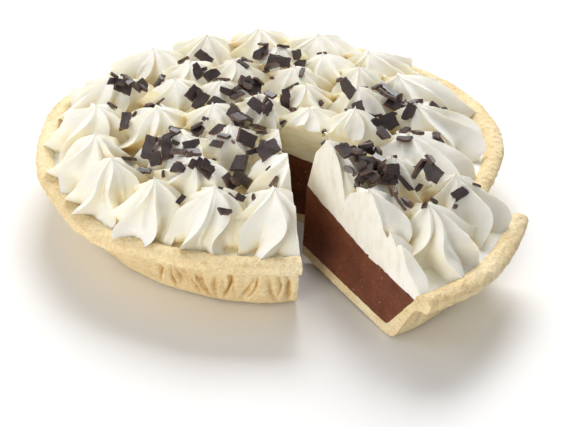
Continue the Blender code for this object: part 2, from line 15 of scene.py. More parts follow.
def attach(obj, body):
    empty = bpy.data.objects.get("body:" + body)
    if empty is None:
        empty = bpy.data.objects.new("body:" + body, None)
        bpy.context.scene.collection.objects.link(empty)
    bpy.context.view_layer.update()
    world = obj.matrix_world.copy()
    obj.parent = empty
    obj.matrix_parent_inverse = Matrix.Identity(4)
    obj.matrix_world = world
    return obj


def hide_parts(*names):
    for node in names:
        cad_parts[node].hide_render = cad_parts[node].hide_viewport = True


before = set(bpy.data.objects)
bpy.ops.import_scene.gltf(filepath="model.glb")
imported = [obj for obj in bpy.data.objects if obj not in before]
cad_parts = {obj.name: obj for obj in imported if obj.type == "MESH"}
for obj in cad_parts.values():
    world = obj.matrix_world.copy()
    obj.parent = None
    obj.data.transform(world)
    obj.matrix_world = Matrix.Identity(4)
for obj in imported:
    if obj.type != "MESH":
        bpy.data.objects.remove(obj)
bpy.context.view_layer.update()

# Crust, from the underside, up the outside, over the lip and down the inside. Each ring takes
# a share of the lip's waviness (rim), of the wall's dents (wall) and of the grain (rough).
Ring = namedtuple("Ring", "radius height rim wall rough", defaults=(0.0, 0.0, 0.0))
Dent = namedtuple("Dent", "azimuth width depth top slant")
CRUST_RINGS = (
    Ring(0.0840, 0.0000),
    Ring(0.0905, 0.0007, 0.0, 0.2, 0.2),
    Ring(0.0950, 0.0034, 0.1, 0.6, 0.5),
    Ring(0.0985, 0.0090, 0.2, 1.0, 0.5),
    Ring(0.1023, 0.0165, 0.4, 1.0, 0.5),
    Ring(0.1065, 0.0240, 0.7, 0.8, 0.6),
    Ring(0.1095, 0.0262, 0.9, 0.2, 0.8),
    Ring(0.1133, 0.0276, 1.0, 0.0, 1.0),
    Ring(0.1150, 0.0305, 1.0, 0.0, 1.0),
    Ring(0.1143, 0.0335, 1.0, 0.0, 1.0),
    Ring(0.1110, 0.0350, 1.0, 0.0, 1.0),
    Ring(0.1075, 0.0343, 0.7, 0.0, 1.0),
    Ring(0.1048, 0.0318, 0.3, 0.0, 0.6),
    Ring(0.1030, 0.0285),
    Ring(0.0955, 0.0172),
    Ring(0.0878, 0.0062),
    Ring(0.0840, 0.0050),
)
# Where in the list the crust starts on its way down the inside.
INNER_EDGE = 13
CRUST_AROUND = 1080
LAYER_AROUND = 240
BULGE = 0.0032
BULGE_MIDDLE = math.radians(-92)
BULGE_WIDTH = math.radians(24)
BULGE_TOP = 0.0240
DENT_COUNT = 46
DENT_FADE = 0.0075
DENT_SEED = 5
DENT_WEAVE = 0.0007
CREASE_COUNT = 14
CREASE_START = -84.5
CREASE_STEP = -2.6
CRUST_GRAIN = 0.00085
# How high the crumbly lip starts, and from where on the grain pushes less outward.
LIP_FOOT = 0.030
LIP_CROWN = 0.0325
FOOT_RADIUS = CRUST_RINGS[0].radius
FLOOR_TOP = CRUST_RINGS[-1].height
FILLING_DOME = ((0.0990, 0.0298), (0.0670, 0.0312), (0.0200, 0.0378))
BED_TOP = ((0.1036, 0.0326), (0.0740, 0.0385), (0.0180, 0.0475))
BED_WAVED_ABOVE = 0.0331
OVERLAP = 0.0001
BED_BRINK = [(CRUST_RINGS[INNER_EDGE].radius + OVERLAP, 0.0291), (0.1078, 0.0322)]
WAVED_ABOVE = 0.029
WAVED_INSIDE = 0.0985

# How far the knife left each cut face from flat, how wide its waves are, and where they start.
Tear = namedtuple("Tear", "roughness grain seed")
CRUST_TEAR = Tear(0.0004, 0.003, 1.0)
FILLING_TEAR = Tear(0.00012, 0.004, 20.0)
CREAM_TEAR = Tear(0.00025, 0.004, 40.0)

# The knife's cuts, and how the slice lies.
CUT_POINT = Vector((0.0035, -0.0192, 0.0))
LEFT_CUT = math.radians(-82.7)
GAP_ANGLE = math.radians(55.7)
SLICE_ANGLE = math.radians(52.3)
SLICE_POINT = Vector((0.0160, -0.0585, 0.0))
SLICE_TURN = math.radians(24.7)
SLICE_TILT = math.radians(3.5)
SLICE_MIDDLE = LEFT_CUT + SLICE_ANGLE / 2
OUTWARD = Vector((math.cos(SLICE_MIDDLE), math.sin(SLICE_MIDDLE), 0.0))
ACROSS = Vector((-OUTWARD.y, OUTWARD.x, 0.0))

# The cream at the slice's point has crumbled back, more so towards the top.
TIP_FOOT = 0.0370
TIP_RISE = 0.0400
TIP_RETREAT = 0.0085
TRIMMER_HALF = 0.02
TRIMMER_DEPTH = 0.03

# How far the knife's faces reach, and how fine they are.
KNIFE_LENGTH = 0.135
KNIFE_HEIGHTS = (-0.004, 0.074)
KNIFE_CELL = 0.0016
KNIFE_FADE = 0.004

# The ring of piped rosettes beside the lip.
RING_CENTRE = Vector((-0.0050, -0.0030))
RING_START = math.radians(-84.3)
RING_STEP = math.radians(-21.3)
# How far out each one was piped, and how many degrees off even spacing.
RING_PLACES = (
    (0.0810, 0.0), (0.0825, 3.0), (0.0855, 6.0), (0.0850, 8.0), (0.0815, 13.0),
    (0.0775, 13.5), (0.0795, 11.0), (0.0818, 6.5), (0.0822, 5.5), (0.0840, 6.5),
    (0.0825, 6.0), (0.0790, 3.0), (0.0758, 1.5), (0.0765, 0.0), (0.0768, -2.0),
)
RING_PEAK = 0.0550
RING_BASE = 0.0300
LOBE_EDGE = 0.1110
DROP_RADIUS = 0.0215
MOST_RADIUS = 0.0285
SPARE_SHARE = 0.45
BACK_SHARE = 0.55
LEAST_LEAN = 0.0035
# The two of them on the slice, as x and y, then those inside the ring, as x, y and peak.
SLICE_RING = ((0.0337, -0.0733), (0.0567, -0.0578))
INNER_ROSETTES = (
    (-0.0450, 0.0120, 0.0600),
    (-0.0390, 0.0330, 0.0590),
    (-0.0170, 0.0330, 0.0600),
    (0.0050, 0.0500, 0.0590),
    (0.0130, 0.0230, 0.0610),
    (0.0280, 0.0390, 0.0600),
    (0.0450, 0.0270, 0.0590),
    (-0.0525, -0.0160, 0.0590),
    (-0.0260, -0.0190, 0.0620),
    (-0.0230, 0.0060, 0.0620),
    (-0.0175, -0.0385, 0.0610),
    (-0.0320, -0.0620, 0.0580),
    (-0.0400, -0.0400, 0.0580),
    (0.0180, 0.0020, 0.0620),
    (0.0440, 0.0010, 0.0610),
    (-0.0040, -0.0100, 0.0630),
    (0.0400, -0.0270, 0.0640),
    (0.0068, -0.0335, 0.0560),
    (0.0108, -0.0633, 0.0610),
    (0.0320, -0.0450, 0.0620),
    (0.0195, -0.0165, 0.0590),
)
# One rosette was pressed down in the pie, and its half on the slice still stands at full height.
SLICE_PEAKS = {35: 0.0690}
NEAR_SLICE = 0.080
INNER_BASE = 0.0380
INNER_RADIUS = 0.0225

# The shape of a rosette: its outline, the valleys between its ridges, their waves and its tip.
RIDGES = 8
ENVELOPE_POWER = 2.6
VALLEY_DEPTH = 0.37
VALLEY_POWER = 0.72
PLUMP_POWER = 2.2
PLUMP_SHARE = 0.95
PLUMP_LEVEL = 0.40
TWIST = 0.45
SWAY_RANGE = (0.08, 0.26)
SWAY_PACE = 6.0
SWELL_RANGE = (0.02, 0.09)
SWELL_PACE = 9.0
FOLD_MOST = 0.9
NIB_STRAY = 0.0009
NIB_RISE = 0.0013
NIB_LEVEL = 0.8
PLEAT_RANGE = (-0.05, 0.11)
PLEAT_PLACES = (0.28, 0.72)
PLEAT_WIDTH = 0.15
PLEAT_SWAY = 0.1
TUCK = 0.20
TUCK_LEVEL = 0.34
DROP_AROUND = 104
DROP_LEVELS = 31
# How the cream's surface strays from smooth, as (depth, waves to the metre).
DROP_GRAIN = ((0.00030, 240), (0.00016, 700))

# How many rays feel for what shuts a point in, how far from its normal, and how long they are; how
# shut in a point is sets the painted shade in the cream's and the crust's hollows.
SHADE_RAYS = 14
SHADE_SPREAD = 0.9
CREAM_SHADE_REACH = 0.016
CRUST_SHADE_REACH = 0.0045

# Dark chocolate flakes.
Cluster = namedtuple("Cluster", "x y spread count")
FLAKE_CLUSTERS = (
    Cluster(-0.067, 0.012, 0.008, 6),
    Cluster(-0.036, -0.048, 0.011, 10),
    Cluster(-0.022, 0.008, 0.011, 6),
    Cluster(-0.006, -0.008, 0.010, 7),
    Cluster(-0.003, -0.040, 0.010, 6),
    Cluster(-0.012, -0.068, 0.010, 6),
    Cluster(0.004, 0.040, 0.014, 7),
    Cluster(0.054, -0.004, 0.012, 9),
    Cluster(0.038, 0.008, 0.014, 5),
    Cluster(0.060, -0.020, 0.007, 4),
    Cluster(0.020, -0.034, 0.008, 4),
    Cluster(0.029, -0.052, 0.009, 6),
    Cluster(0.045, -0.060, 0.009, 5),
)
FLAKE_LENGTHS = (0.0045, 0.0100)
FLAKE_THICKNESS = 0.0013
FLAKE_SINK = 0.0005
FLAKE_SEED = 11
FLAKE_CEILING = 0.0695
FLAKE_TAPER = 0.94
FLAKE_STEEPEST = 1.1
SNAPPED_SHARE = 0.55
BROKEN_EDGE = 0.00028
EDGE_STEP = 0.0016
FLAKE_BEND = 12
EXTRA_FLAKES = 0.9
EXTRA_SPREAD = 1.15
EXTRA_SEED = 31
SLICE_HEAPS = (Cluster(0.0150, -0.0455, 0.0050, 16), Cluster(0.0235, -0.0410, 0.0060, 7))
SMALL_LENGTHS = (0.0022, 0.0075)
# The larger flakes one by one: x, y, length, width, then heading and tilt in degrees.
LARGE_FLAKES = (
    (-0.010, 0.011, 0.0150, 0.0110, 10, 35),
    (0.001, -0.057, 0.0120, 0.0115, 2, 50),
    (0.038, -0.001, 0.0072, 0.0140, 10, 65),
    (0.008, -0.005, 0.0060, 0.0100, 5, 55),
    (0.041, -0.051, 0.0042, 0.0130, -15, 60),
    (-0.072, 0.031, 0.0120, 0.0060, -44, 10),
    (-0.073, 0.017, 0.0120, 0.0085, 8, 20),
    (-0.065, 0.035, 0.0080, 0.0080, -31, 15),
    (-0.067, 0.020, 0.0080, 0.0040, 8, 10),
    (-0.054, -0.002, 0.0110, 0.0065, -38, 15),
    (-0.044, 0.046, 0.0080, 0.0055, 8, 5),
    (-0.034, 0.060, 0.0120, 0.0070, -44, 10),
    (-0.036, 0.026, 0.0090, 0.0060, -54, 30),
    (-0.029, 0.025, 0.0110, 0.0070, 54, 20),
    (-0.020, 0.001, 0.0100, 0.0040, -8, 5),
    (-0.037, 0.005, 0.0100, 0.0060, 63, 30),
    (-0.033, -0.001, 0.0100, 0.0065, 49, 20),
    (-0.025, -0.005, 0.0090, 0.0070, -38, 15),
    (-0.005, -0.016, 0.0100, 0.0065, -54, 10),
    (-0.014, -0.021, 0.0060, 0.0080, -16, 20),
    (-0.001, -0.018, 0.0080, 0.0080, 84, 30),
    (-0.023, -0.036, 0.0090, 0.0070, 38, 10),
    (-0.010, -0.043, 0.0125, 0.0085, -5, 20),
    (-0.002, -0.043, 0.0120, 0.0060, -63, 10),
    (-0.032, -0.033, 0.0090, 0.0070, -63, 20),
    (-0.035, -0.046, 0.0110, 0.0055, 24, 10),
    (-0.047, -0.040, 0.0140, 0.0042, 20, 5),
    (-0.046, -0.049, 0.0120, 0.0060, 78, 40),
    (-0.055, -0.042, 0.0140, 0.0070, 54, 20),
    (-0.064, -0.044, 0.0080, 0.0080, 0, 10),
    (-0.068, -0.018, 0.0120, 0.0055, 71, 30),
    (-0.051, -0.052, 0.0075, 0.0080, 0, 20),
    (-0.028, -0.067, 0.0110, 0.0062, -31, 15),
    (-0.017, -0.067, 0.0100, 0.0055, -38, 10),
    (-0.011, -0.061, 0.0130, 0.0070, -59, 15),
    (-0.012, -0.054, 0.0090, 0.0095, -31, 20),
    (-0.004, 0.049, 0.0130, 0.0090, -8, 10),
    (0.005, 0.040, 0.0130, 0.0070, -24, 10),
    (0.014, 0.048, 0.0075, 0.0070, 44, 20),
    (0.011, 0.010, 0.0100, 0.0042, -8, 5),
    (0.061, 0.013, 0.0215, 0.0042, -52, 10),
    (0.057, 0.009, 0.0180, 0.0038, -50, 15),
    (0.061, 0.001, 0.0095, 0.0070, -24, 15),
    (0.068, -0.010, 0.0110, 0.0070, 49, 15),
    (0.058, -0.012, 0.0110, 0.0100, 31, 15),
    (0.053, -0.034, 0.0085, 0.0075, -44, 15),
    (0.024, -0.042, 0.0080, 0.0095, -41, 10),
    (0.019, -0.050, 0.0110, 0.0095, -79, 10),
    (0.028, -0.052, 0.0085, 0.0060, 59, 30),
    (0.032, -0.056, 0.0120, 0.0030, -80, 10),
    (0.050, -0.051, 0.0110, 0.0045, -31, 15),
    (0.045, -0.057, 0.0105, 0.0085, -79, 15),
    (0.020, -0.064, 0.0100, 0.0055, 39, 20),
    (0.020, -0.072, 0.0130, 0.0032, -74, 5),
)

# Colours, each as stops of a ramp: a place on it, and a linear red, green and blue.
# The cream's colour by how shut in a point is: pale in the open, with painted darker yellow shade in
# its valleys and hollows.
CREAM_HOLLOW_SHADE = ((0.12, (0.905, 0.89, 0.825)), (0.5, (0.89, 0.85, 0.70)), (0.82, (0.85, 0.72, 0.43)))
CREAM_CLOUD = ((0.3, (0.96, 0.955, 0.94)), (0.7, (1.0, 1.0, 1.0)))
# The main pie's cut face in the gap: streaks where the knife dragged, in colours darker and warmer
# than the slice's cut face, as painted shade of the gap.
SHADED_DRAGGED_CREAM = ((0.28, (0.80, 0.69, 0.42)), (0.5, (0.91, 0.83, 0.57)), (0.72, (0.95, 0.91, 0.74)))
SLICED_CREAM = ((0.28, (0.80, 0.755, 0.65)), (0.5, (0.89, 0.86, 0.78)), (0.75, (0.93, 0.91, 0.85)))
CHOCOLATE = ((0.3, (0.140, 0.044, 0.023)), (0.55, (0.195, 0.063, 0.032)), (0.8, (0.245, 0.088, 0.048)))
BAKED_PASTRY = ((0.3, (0.76, 0.60, 0.34)), (0.5, (0.86, 0.72, 0.445)), (0.72, (0.91, 0.81, 0.57)))
CUT_PASTRY = ((0.3, (0.74, 0.59, 0.335)), (0.5, (0.85, 0.725, 0.46)), (0.75, (0.92, 0.83, 0.60)))
FLAKE_FACE = ((0.3, (0.020, 0.012, 0.011)), (0.7, (0.070, 0.048, 0.046)))
FLAKE_EDGE = ((0.3, (0.045, 0.022, 0.016)), (0.7, (0.16, 0.085, 0.06)))


@dataclass
class Rosette:
    """One piped drop of cream: its tip, its base and how its ridges run."""

    x: float
    y: float
    peak: float
    base: float
    radius: float
    lean: float
    rng: random.Random

    def __post_init__(self):
        draw = self.rng.uniform
        self.phase = draw(0, math.tau)
        self.twist = TWIST * draw(0.6, 1.4)
        self.power = ENVELOPE_POWER * draw(0.85, 1.2)
        self.reach = np.array([draw(0.93, 1.06) for _ in range(RIDGES)])
        self.radius *= draw(0.96, 1.05)
        self.outward = math.atan2(self.y, self.x)
        self.sway = [(draw(*SWAY_RANGE), draw(0, math.tau)) for _ in range(RIDGES)]
        self.swell = [(draw(*SWELL_RANGE), draw(0, math.tau)) for _ in range(RIDGES)]
        self.fold = draw(-FOLD_MOST, FOLD_MOST)
        self.nib = (draw(-NIB_STRAY, NIB_STRAY), draw(-NIB_STRAY, NIB_STRAY))
        self.seed = draw(0, 50)
        self.pleat = np.array([max(0.0, draw(*PLEAT_RANGE)) for _ in range(RIDGES)])
        self.pleat_place = np.array([draw(*PLEAT_PLACES) for _ in range(RIDGES)])

    def surface(self):
        """Points in rows from the base to just under the tip, each row once round the drop."""
        turn = np.arange(DROP_AROUND) / DROP_AROUND
        level = 1 - (1 - np.arange(DROP_LEVELS) / DROP_LEVELS) ** 1.3
        step = turn * RIDGES
        ridge = np.floor(step).astype(int) % RIDGES
        share = step - np.floor(step)
        blend = share * share * (3 - 2 * share)

        def between(values):
            """Values that belong to the ridges, carried over the valleys between them."""
            return values[..., ridge] * (1 - blend) + values[..., (ridge + 1) % RIDGES] * blend

        def waves(ridges, pace):
            """How a wave with a size and a start of its own runs up each ridge."""
            heights = [size * np.sin(start + pace * level) for size, start in ridges]
            return between(np.stack(heights, axis=-1))

        low = level[:, None]
        sway = waves(self.sway, SWAY_PACE)
        swell = waves(self.swell, SWELL_PACE)
        folded = share + self.fold * np.sin(math.tau * share) / math.tau * 0.55
        thin = np.sin(np.pi * folded) ** VALLEY_POWER
        plump = np.sin(np.pi * folded) ** PLUMP_POWER
        plumpness = PLUMP_SHARE * np.clip(1 - low / PLUMP_LEVEL, 0, 1)
        valley = VALLEY_DEPTH * (thin * (1 - plumpness) + plump * plumpness)
        under = np.clip(low / TUCK_LEVEL, 0, 1)
        tuck = 1 - TUCK + TUCK * np.sqrt(1 - (1 - under) ** 2)
        pleat_place = self.pleat_place[ridge] + PLEAT_SWAY * np.sin(7 * low)
        from_pleat = np.abs(share - pleat_place) / PLEAT_WIDTH
        pleats = self.pleat[ridge] * np.clip(1 - from_pleat, 0, 1) ** 1.3 * np.sin(np.pi * low) ** 0.5
        reach = between(self.reach) * (1 - valley + pleats) * (1 + swell) * tuck
        spread = self.radius * (1 - low**self.power) * reach
        angle = self.phase + math.tau * turn + self.twist * low + sway
        shift = self.lean * (1 - low)
        nib = np.clip((low - NIB_LEVEL) / (1 - NIB_LEVEL), 0, 1) ** 2
        x = self.x + spread * np.cos(angle) + shift * math.cos(self.outward) + self.nib[0] * nib
        y = self.y + spread * np.sin(angle) + shift * math.sin(self.outward) + self.nib[1] * nib
        z = self.base + low * (self.peak - self.base) + 0 * angle
        return np.stack([x, y, z], axis=-1)

    def mesh(self):
        rows = self.surface()
        centre = Vector((self.x, self.y, self.base))
        points = []
        for x, y, z in rows.reshape(-1, 3).tolist():
            point = Vector((x, y, z))
            away = (point - centre).normalized()
            (broad, broad_pace), (fine, fine_pace) = DROP_GRAIN
            rough = broad * noise.noise(point * broad_pace + Vector((self.seed, 0, 0)))
            rough += fine * noise.noise(point * fine_pace)
            points.append(point + away * rough)
        tip = len(points)
        tip_x = self.x + self.nib[0] * 1.5
        tip_y = self.y + self.nib[1] * 1.5
        points.append(Vector((tip_x, tip_y, self.peak + NIB_RISE)))
        around = DROP_AROUND
        faces = [tuple(reversed(range(around)))]
        for row in range(DROP_LEVELS - 1):
            faces += ring_faces(row * around, (row + 1) * around, around)
        last = (DROP_LEVELS - 1) * around
        faces += [(last + k, last + (k + 1) % around, tip) for k in range(around)]
        return points, faces


def ring_faces(lower, upper, around):
    faces = []
    for k in range(around):
        following = (k + 1) % around
        faces.append((lower + k, lower + following, upper + following))
        faces.append((lower + k, upper + following, upper + k))
    return faces


def make_object(name, points, faces):
    mesh = bpy.data.meshes.new(name)
    mesh.from_pydata([tuple(point) for point in points], [], faces)
    thing = bpy.data.objects.new(name, mesh)
    bpy.context.scene.collection.objects.link(thing)
    return thing


def copy_of(thing, name):
    twin = thing.copy()
    twin.data = thing.data.copy()
    twin.name = name
    bpy.context.scene.collection.objects.link(twin)
    return twin


def combine(thing, operation, tool):
    """Cuts or joins an object with another one, and keeps only the result."""
    modifier = thing.modifiers.new(operation.lower(), "BOOLEAN")
    modifier.operation = operation
    modifier.solver = "MANIFOLD"
    modifier.object = tool
    graph = bpy.context.evaluated_depsgraph_get()
    result = bpy.data.meshes.new_from_object(thing.evaluated_get(graph))
    thing.modifiers.clear()
    result.materials.clear()
    old = thing.data
    thing.data = result
    bpy.data.meshes.remove(old)


def drop_object(thing):
    mesh = thing.data
    bpy.data.objects.remove(thing, do_unlink=True)
    bpy.data.meshes.remove(mesh)


def rim_wave(azimuth):
    """How far the hand-made lip strays outward."""
    return 0.0009 * math.sin(5 * azimuth + 0.6) + 0.0006 * math.sin(11 * azimuth + 2.1)


def rim_lift(azimuth):
    """How far the lip rises and falls."""
    return 0.0007 * math.sin(4 * azimuth + 1.9) + 0.0004 * math.sin(9 * azimuth)


def wall_dent(azimuth):
    """How deep the wall is pressed in between the lip and the foot."""
    return 0.0008 * (1 + math.sin(19 * azimuth + 0.4) * math.sin(6 * azimuth + 1.0))


def foot_bulge(azimuth, height):
    """How far the main pie's crust sagged outward at its foot, beside the left cut."""
    away = (azimuth - BULGE_MIDDLE + math.pi) % math.tau - math.pi
    return BULGE * math.exp(-((away / BULGE_WIDTH) ** 2)) * max(0.0, 1 - height / BULGE_TOP)


def smooth_rings(rings, steps):
    """Rings between the given ones, on a curve that passes through them."""
    table = np.array([tuple(ring) for ring in rings], float)
    found = []
    for k in range(len(table) - 1):
        before = table[max(k - 1, 0)]
        here, there = table[k], table[k + 1]
        after = table[min(k + 2, len(table) - 1)]
        for step in range(steps):
            t = step / steps
            a = 2 * here
            b = there - before
            c = 2 * before - 5 * here + 4 * there - after
            d = 3 * here - before - 3 * there + after
            found.append(0.5 * (a + b * t + c * t * t + d * t**3))
    found.append(table[-1])
    return found


def turned(name, rows, through=False):
    """A solid through rows of points that each run once round: capped, or with a hole through it."""
    around = len(rows[0])
    points = [point for row in rows for point in row]
    faces = [] if through else [tuple(reversed(range(around)))]
    for row in range(len(rows) if through else len(rows) - 1):
        faces += ring_faces(row * around, (row + 1) % len(rows) * around, around)
    if not through:
        faces.append(tuple(range((len(rows) - 1) * around, len(rows) * around)))
    return make_object(name, points, faces)


def knife(name, angle, tear):
    """A wedge with slightly uneven faces, which leaves such faces on what it cuts."""
    low, high = KNIFE_HEIGHTS
    along = int(KNIFE_LENGTH / KNIFE_CELL)
    rise = int((high - low) / KNIFE_CELL)
    columns = []
    for azimuth, side in ((LEFT_CUT, 1), (LEFT_CUT + angle, -1)):
        direction = Vector((math.cos(azimuth), math.sin(azimuth), 0))
        normal = Vector((-direction.y, direction.x, 0)) * side
        grid = []
        for i in range(along + 1):
            s = KNIFE_LENGTH * i / along
            column = []
            for j in range(rise + 1):
                z = low + (high - low) * j / rise
                spot = Vector((s / tear.grain, z / tear.grain * 0.6, tear.seed + side))
                fade = min(1.0, s / KNIFE_FADE)
                waves = noise.noise(spot) + 0.5 * noise.noise(spot * 2.7)
                offset = tear.roughness * fade * waves
                column.append(CUT_POINT + direction * s + normal * offset + Vector((0, 0, z)))
            grid.append(column)
        columns.append(grid)
    points = []
    index = {}
    for side, grid in enumerate(columns):
        for i, column in enumerate(grid):
            for j, point in enumerate(column):
                if side == 1 and i == 0:
                    index[side, i, j] = index[0, 0, j]
                    continue
                index[side, i, j] = len(points)
                points.append(point)
    faces = []
    for i in range(along):
        for j in range(rise):
            corners = [(i, j), (i + 1, j), (i + 1, j + 1), (i, j + 1)]
            left = [index[0, a, b] for a, b in corners]
            right = [index[1, a, b] for a, b in reversed(corners)]
            for face in (left, right):
                faces.append((face[0], face[1], face[2]))
                faces.append((face[0], face[2], face[3]))
    for i in range(along):
        for j, turn in ((0, True), (rise, False)):
            ladder = [index[0, i, j], index[0, i + 1, j], index[1, i + 1, j], index[1, i, j]]
            ladder = list(dict.fromkeys(ladder))
            faces.append(tuple(reversed(ladder)) if turn else tuple(ladder))
    for j in range(rise):
        back = [index[0, along, j], index[1, along, j], index[1, along, j + 1], index[0, along, j + 1]]
        faces.append(tuple(back))
    return make_object(name, points, faces)


def slice_pose():
    """Tips the slice up about its foot, turns it about its point and draws it out."""
    foot = FOOT_RADIUS * OUTWARD
    tilt = Matrix.Rotation(SLICE_TILT, 4, ACROSS)
    tip_up = Matrix.Translation(foot) @ tilt @ Matrix.Translation(-foot)
    turn = Matrix.Translation(SLICE_POINT) @ Matrix.Rotation(SLICE_TURN, 4, "Z")
    return turn @ Matrix.Translation(-CUT_POINT) @ tip_up


def split(whole, names, tear, other=None):
    """Parts a piece into what stays in the pie and what goes with the slice, still in place."""
    portion = other or copy_of(whole, names[1])
    portion.name = names[1]
    whole.name = names[0]
    gap = knife("gap", GAP_ANGLE, tear)
    wedge = knife("wedge", SLICE_ANGLE, tear._replace(seed=tear.seed + 9))
    combine(whole, "DIFFERENCE", gap)
    combine(portion, "INTERSECT", wedge)
    drop_object(gap)
    drop_object(wedge)
    return whole, portion


def mark_cut_faces(thing, angle, tear):
    """Gives the faces that the knife left the object's second material."""
    mesh = thing.data
    count = len(mesh.polygons)
    centres = np.empty(count * 3)
    normals = np.empty(count * 3)
    mesh.polygons.foreach_get("center", centres)
    mesh.polygons.foreach_get("normal", normals)
    centres = centres.reshape(-1, 3) - np.array(CUT_POINT)
    normals = normals.reshape(-1, 3)
    cut = np.zeros(count, bool)
    for azimuth in (LEFT_CUT, LEFT_CUT + angle):
        normal = np.array([-math.sin(azimuth), math.cos(azimuth), 0])
        near = np.abs(centres @ normal) < 2.0 * tear.roughness + 0.0001
        cut |= near & (np.abs(normals @ normal) > 0.8)
    mesh.polygons.foreach_set("material_index", cut.astype(np.int32))


def finish_surface(thing, sharp=48):
    mesh = thing.data
    mesh.shade_smooth()
    mesh.set_sharp_from_angle(angle=math.radians(sharp))


def wall_dents():
    """Shallow dents all round the crust's wall, and narrow creases at the front, left of the cut."""
    rng = random.Random(DENT_SEED)
    dents = []
    for _ in range(DENT_COUNT):
        azimuth = rng.uniform(0, math.tau)
        dents.append(Dent(azimuth, rng.uniform(0.0010, 0.0022), rng.uniform(0.0005, 0.0014),
                          rng.uniform(0.006, 0.020), rng.uniform(-0.35, 0.35)))
    for k in range(CREASE_COUNT):
        azimuth = math.radians(CREASE_START + CREASE_STEP * k + rng.uniform(-1.2, 1.2))
        dents.append(Dent(azimuth, rng.uniform(0.0005, 0.0010), rng.uniform(0.0016, 0.0028),
                          rng.uniform(0.008, 0.019), rng.uniform(-0.5, 0.3)))
    return dents


def crust_body(sag):
    """The pastry shell with its rough lip, dented wall and crumbly grain, sagged by a share."""
    dents = wall_dents()
    rows = []
    for radius, height, rim, wall, rough in smooth_rings(CRUST_RINGS, 5):
        row = []
        for k in range(CRUST_AROUND):
            azimuth = math.tau * k / CRUST_AROUND
            reach = radius + rim * rim_wave(azimuth) - wall * wall_dent(azimuth)
            z = height + rim * rim_lift(azimuth)
            if wall > 0.05:
                reach += sag * foot_bulge(azimuth, height)
                for dent in dents:
                    away = (azimuth - dent.azimuth + math.pi) % math.tau - math.pi
                    weave = DENT_WEAVE * math.sin(320 * z + dent.top * 900)
                    across = away * radius + dent.slant * (z - 0.012) + weave
                    if abs(across) < 3 * dent.width:
                        fade = math.exp(-(((z - dent.top) / DENT_FADE) ** 2))
                        reach -= wall * dent.depth * fade * math.exp(-((across / dent.width) ** 2))
            if rough > 0.02:
                spot = Vector((reach * math.cos(azimuth), reach * math.sin(azimuth), z))
                grain = 0.5 * noise.noise(spot * 130) + 0.5 * noise.noise(spot * 380)
                grain += 0.5 * noise.noise(spot * 820)
                bump = CRUST_GRAIN * rough * (grain - 0.35)
                reach += bump * (1 if height < LIP_CROWN else 0.4)
                if height > LIP_FOOT:
                    z += bump
            row.append((reach * math.cos(azimuth), reach * math.sin(azimuth), z))
        rows.append(row)
    return turned("crust", rows)


def smooth_outline(outline, steps):
    """Pairs of radius and height between the given ones, on a curve through them."""
    return [(ring[0], ring[1]) for ring in smooth_rings([Ring(*pair) for pair in outline], steps)]


def filling_body():
    walls = [(ring.radius + OVERLAP, ring.height) for ring in reversed(CRUST_RINGS[INNER_EDGE:-1])]
    outline = [(FOOT_RADIUS, FLOOR_TOP - OVERLAP)] + walls + dome_outline(0)
    return turned("filling", plain_rows(outline))


def dome_outline(rise):
    return [(radius, height + rise) for radius, height in smooth_outline(FILLING_DOME, 6)]


def bed_wave(x, y, height):
    """The unevenness of the bed where it shows between the rosettes."""
    swirl = noise.noise(Vector((x, y, 0.1)) * 85) + 0.5 * noise.noise(Vector((x, y, 0.7)) * 210)
    return 0.0013 * swirl if height > BED_WAVED_ABOVE else 0.0


def layer_wave(x, y):
    """The gentle unevenness of the line between chocolate and cream."""
    broad = noise.noise(Vector((x, y, 0.3)) * 70)
    fine = noise.noise(Vector((x, y, 0.9)) * 210)
    return 0.0007 * broad + 0.0003 * fine


def plain_rows(outline):
    """An outline turned round, with the dome between chocolate and cream waved a little."""
    rows = []
    for radius, height in outline:
        row = []
        for k in range(LAYER_AROUND):
            azimuth = math.tau * k / LAYER_AROUND
            x, y = radius * math.cos(azimuth), radius * math.sin(azimuth)
            z = height + (layer_wave(x, y) if height > WAVED_ABOVE and radius < WAVED_INSIDE else 0)
            row.append((x, y, z))
        rows.append(row)
    return rows


def bed_body():
    under = [(radius, height) for radius, height in reversed(dome_outline(-OVERLAP))]
    rows = plain_rows(under + BED_BRINK + smooth_outline(BED_TOP, 8))
    for k in range(len(under) + len(BED_BRINK), len(rows)):
        rows[k] = [(x, y, z + bed_wave(x, y, z)) for x, y, z in rows[k]]
    return turned("cream", rows)


def ring_rosette(x, y, rng):
    """A rosette beside the rim, whose lobes lean out as far as the lip."""
    distance = math.hypot(x, y)
    room = LOBE_EDGE - distance
    share = SPARE_SHARE + BACK_SHARE * max(0, y / distance)
    radius = min(MOST_RADIUS, DROP_RADIUS + share * max(0, room - DROP_RADIUS))
    lean = max(LEAST_LEAN, room - radius)
    return Rosette(x, y, RING_PEAK, RING_BASE, radius, lean, rng)


def make_rosettes():
    rosettes = []
    for k, (distance, stray) in enumerate(RING_PLACES):
        azimuth = RING_START + RING_STEP * k + math.radians(stray)
        x = RING_CENTRE.x + distance * math.cos(azimuth)
        y = RING_CENTRE.y + distance * math.sin(azimuth)
        rosettes.append(ring_rosette(x, y, random.Random(k)))
    for k, (x, y) in enumerate(SLICE_RING):
        rosettes.append(ring_rosette(x, y, random.Random(40 + k)))
    for k, (x, y, peak) in enumerate(INNER_ROSETTES):
        rosettes.append(Rosette(x, y, peak, INNER_BASE, INNER_RADIUS, 0.0, random.Random(60 + k)))
    return rosettes


def as_on_slice(rosettes):
    """The rosettes on and beside the slice, with the heights that they have there."""
    centre = CUT_POINT + OUTWARD * FOOT_RADIUS / 2
    found = []
    for number, rosette in enumerate(rosettes, 1):
        if math.hypot(rosette.x - centre.x, rosette.y - centre.y) < NEAR_SLICE:
            standing = copy.copy(rosette)
            standing.peak = SLICE_PEAKS.get(number, rosette.peak)
            found.append(standing)
    return found


